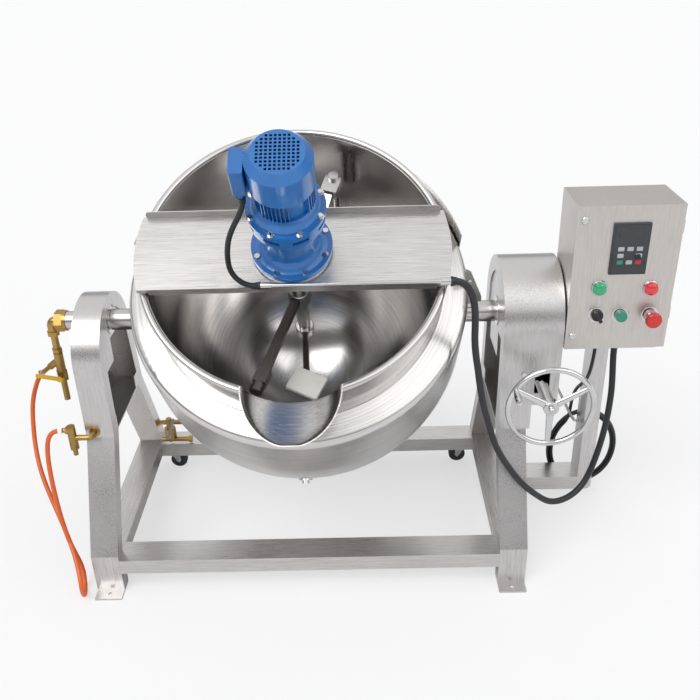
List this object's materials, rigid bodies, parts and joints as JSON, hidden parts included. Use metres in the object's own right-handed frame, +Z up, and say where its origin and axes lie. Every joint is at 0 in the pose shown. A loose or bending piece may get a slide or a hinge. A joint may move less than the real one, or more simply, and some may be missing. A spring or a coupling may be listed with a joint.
{
  "type": "tilting steam jacketed kettle",
  "caption": "Stainless steel steam jacketed kettle tipped forward in a trunnion frame, with a bridge-mounted agitator drive, handwheel worm tilt and control box",
  "frame": {"origin": "On the floor, midway between the two bolt holes of the front feet", "axes": "+X to the operator's right along the trunnion axis, +Y from the pouring side to the back, +Z up"},
  "size_m": [1.7339, 1.0114, 1.2709],
  "materials": {
    "brushed_stainless": "brushed",
    "satin_stainless": "satin",
    "polished_steel": "polished",
    "dark_steel": "dull",
    "blue_paint": "gloss",
    "brass": "cast and turned",
    "gear_steel": "machined",
    "white_ptfe": "matte",
    "black_rubber": "matte",
    "cable_black": "matte",
    "orange_hose": "smooth",
    "caster_tread": "matte",
    "keypad_grey": "matte",
    "black_plastic": "satin",
    "lamp_plastic": "gloss",
    "green_plastic": "satin",
    "red_plastic": "satin",
    "yellow_plastic": "dipped"
  },
  "bodies": {
    "frame": {"left_column": "brushed_stainless", "right_column": "brushed_stainless", "front_leg_left": "brushed_stainless", "front_leg_right": "brushed_stainless", "rear_leg_left": "brushed_stainless", "rear_leg_right": "brushed_stainless", "side_rail_left": "brushed_stainless", "side_rail_right": "brushed_stainless", "front_beam": "brushed_stainless", "rear_beam": "brushed_stainless", "trunnion_bearings": "satin_stainless", "gear_case": "brushed_stainless", "control_post": "brushed_stainless", "control_bracket": "brushed_stainless", "control_box": "brushed_stainless", "steam_union": "brass", "steam_branch": "brass", "inlet_stub": "brass", "condensate_manifold": "brass", "orange_hose": "orange_hose", "supply_hose": "black_rubber", "cable_coil": "cable_black", "control_cable": "cable_black"},
    "kettle": {"inner_pot": "brushed_stainless", "pouring_spout": "satin_stainless", "steam_jacket": "brushed_stainless", "rear_guard": "brushed_stainless", "trunnion_left": "satin_stainless", "trunnion_right": "satin_stainless", "bridge": "brushed_stainless", "gear_reducer": "blue_paint", "motor_body": "blue_paint", "fan_cover": "blue_paint", "terminal_box": "blue_paint", "motor_cable": "black_rubber", "cable_conduit": "polished_steel", "worm_wheel": "gear_steel"},
    "agitator": {"agitator_shaft": "satin_stainless", "scraper_arm": "dark_steel", "scraper_post": "satin_stainless", "paddle_blade": "white_ptfe", "paddle_holder": "satin_stainless"},
    "fan": {"motor_fan": "black_plastic"},
    "worm": {"worm_shaft": "polished_steel", "handwheel": "polished_steel"},
    "grip": {"handwheel_grip": "polished_steel"},
    "door": {"box_door": "brushed_stainless", "keypad_panel": "keypad_grey", "pilot_lamps": "lamp_plastic", "switch_collars": "polished_steel"},
    "speed_knob": {"keypad_knob": "black_plastic"},
    "selector": {"selector_knob": "black_plastic"},
    "start": {"start_button": "green_plastic"},
    "stop": {"stop_button": "red_plastic"},
    "steam_cock": {"steam_lever": "yellow_plastic"},
    "condensate_cock": {"manifold_lever": "polished_steel"},
    "fork_left": {"caster_fork_left": "polished_steel"},
    "fork_right": {"caster_fork_right": "polished_steel"},
    "wheel_left": {"caster_wheel_left": "caster_tread"},
    "wheel_right": {"caster_wheel_right": "caster_tread"}
  },
  "joints": [
    {"name": "tilt", "type": "hinge", "parent": "frame", "child": "kettle", "pos_m": [0, 0.3084, 0.693], "axis": [1, 0, 0], "range_deg": [-37, 53], "deforming": ["supply_hose"]},
    {"name": "agitator_turn", "type": "hinge", "parent": "kettle", "child": "agitator", "pos_m": [0, 0.2351, 0.79027], "axis": [0, -0.6018, 0.7986], "continuous": true},
    {"name": "fan_turn", "type": "hinge", "parent": "kettle", "child": "fan", "pos_m": [0, -0.07195, 1.19774], "axis": [0, -0.6018, 0.7986], "continuous": true},
    {"name": "handwheel_turn", "type": "hinge", "parent": "frame", "child": "worm", "pos_m": [0.6165, 0.0354, 0.556], "axis": [0, -1, 0], "range_deg": [-1480, 2120]},
    {"name": "grip_turn", "type": "hinge", "parent": "worm", "child": "grip", "pos_m": [0.52557, -0.0006, 0.6085], "axis": [0, -1, 0], "continuous": true},
    {"name": "door_hinge", "type": "hinge", "parent": "frame", "child": "door", "pos_m": [0.9235, 0.1744, 0.838], "axis": [0, 0, 1], "range_deg": [0, 110]},
    {"name": "speed_knob_turn", "type": "hinge", "parent": "door", "child": "speed_knob", "pos_m": [0.819, 0.1534, 0.8995], "axis": [0, -1, 0], "range_deg": [-150, 150]},
    {"name": "selector_turn", "type": "hinge", "parent": "door", "child": "selector", "pos_m": [0.7406, 0.1484, 0.7448], "axis": [0, -1, 0], "range_deg": [-60, 0]},
    {"name": "start_press", "type": "slide", "parent": "door", "child": "start", "axis": [0, 1, 0], "range_m": [0, 0.004], "stiffness_N_per_m": 400, "springref_m": -0.002},
    {"name": "stop_press", "type": "slide", "parent": "door", "child": "stop", "axis": [0, 1, 0], "range_m": [0, 0.005], "stiffness_N_per_m": 600, "springref_m": -0.002},
    {"name": "steam_cock_turn", "type": "hinge", "parent": "frame", "child": "steam_cock", "pos_m": [-0.6795, 0.2814, 0.5264], "axis": [0, -1, 0], "range_deg": [0, 90]},
    {"name": "condensate_cock_turn", "type": "hinge", "parent": "frame", "child": "condensate_cock", "pos_m": [-0.4781, 0.5499, 0.1505], "axis": [0, -1, 0], "range_deg": [-90, 0]},
    {"name": "caster_swivel_left", "type": "hinge", "parent": "frame", "child": "fork_left", "pos_m": [-0.4879, 0.6059, 0.056], "axis": [0, 0, 1], "continuous": true},
    {"name": "caster_roll_left", "type": "hinge", "parent": "fork_left", "child": "wheel_left", "pos_m": [-0.4679, 0.6059, 0.027], "axis": [0, 1, 0], "continuous": true},
    {"name": "caster_swivel_right", "type": "hinge", "parent": "frame", "child": "fork_right", "pos_m": [0.4879, 0.6059, 0.056], "axis": [0, 0, 1], "continuous": true},
    {"name": "caster_roll_right", "type": "hinge", "parent": "fork_right", "child": "wheel_right", "pos_m": [0.4679, 0.6059, 0.027], "axis": [0, 1, 0], "continuous": true}
  ],
  "couplings": [
    {"joint": "handwheel_turn", "follows": "tilt", "ratio": 40},
    {"joint": "fan_turn", "follows": "agitator_turn", "ratio": 29}
  ]
}
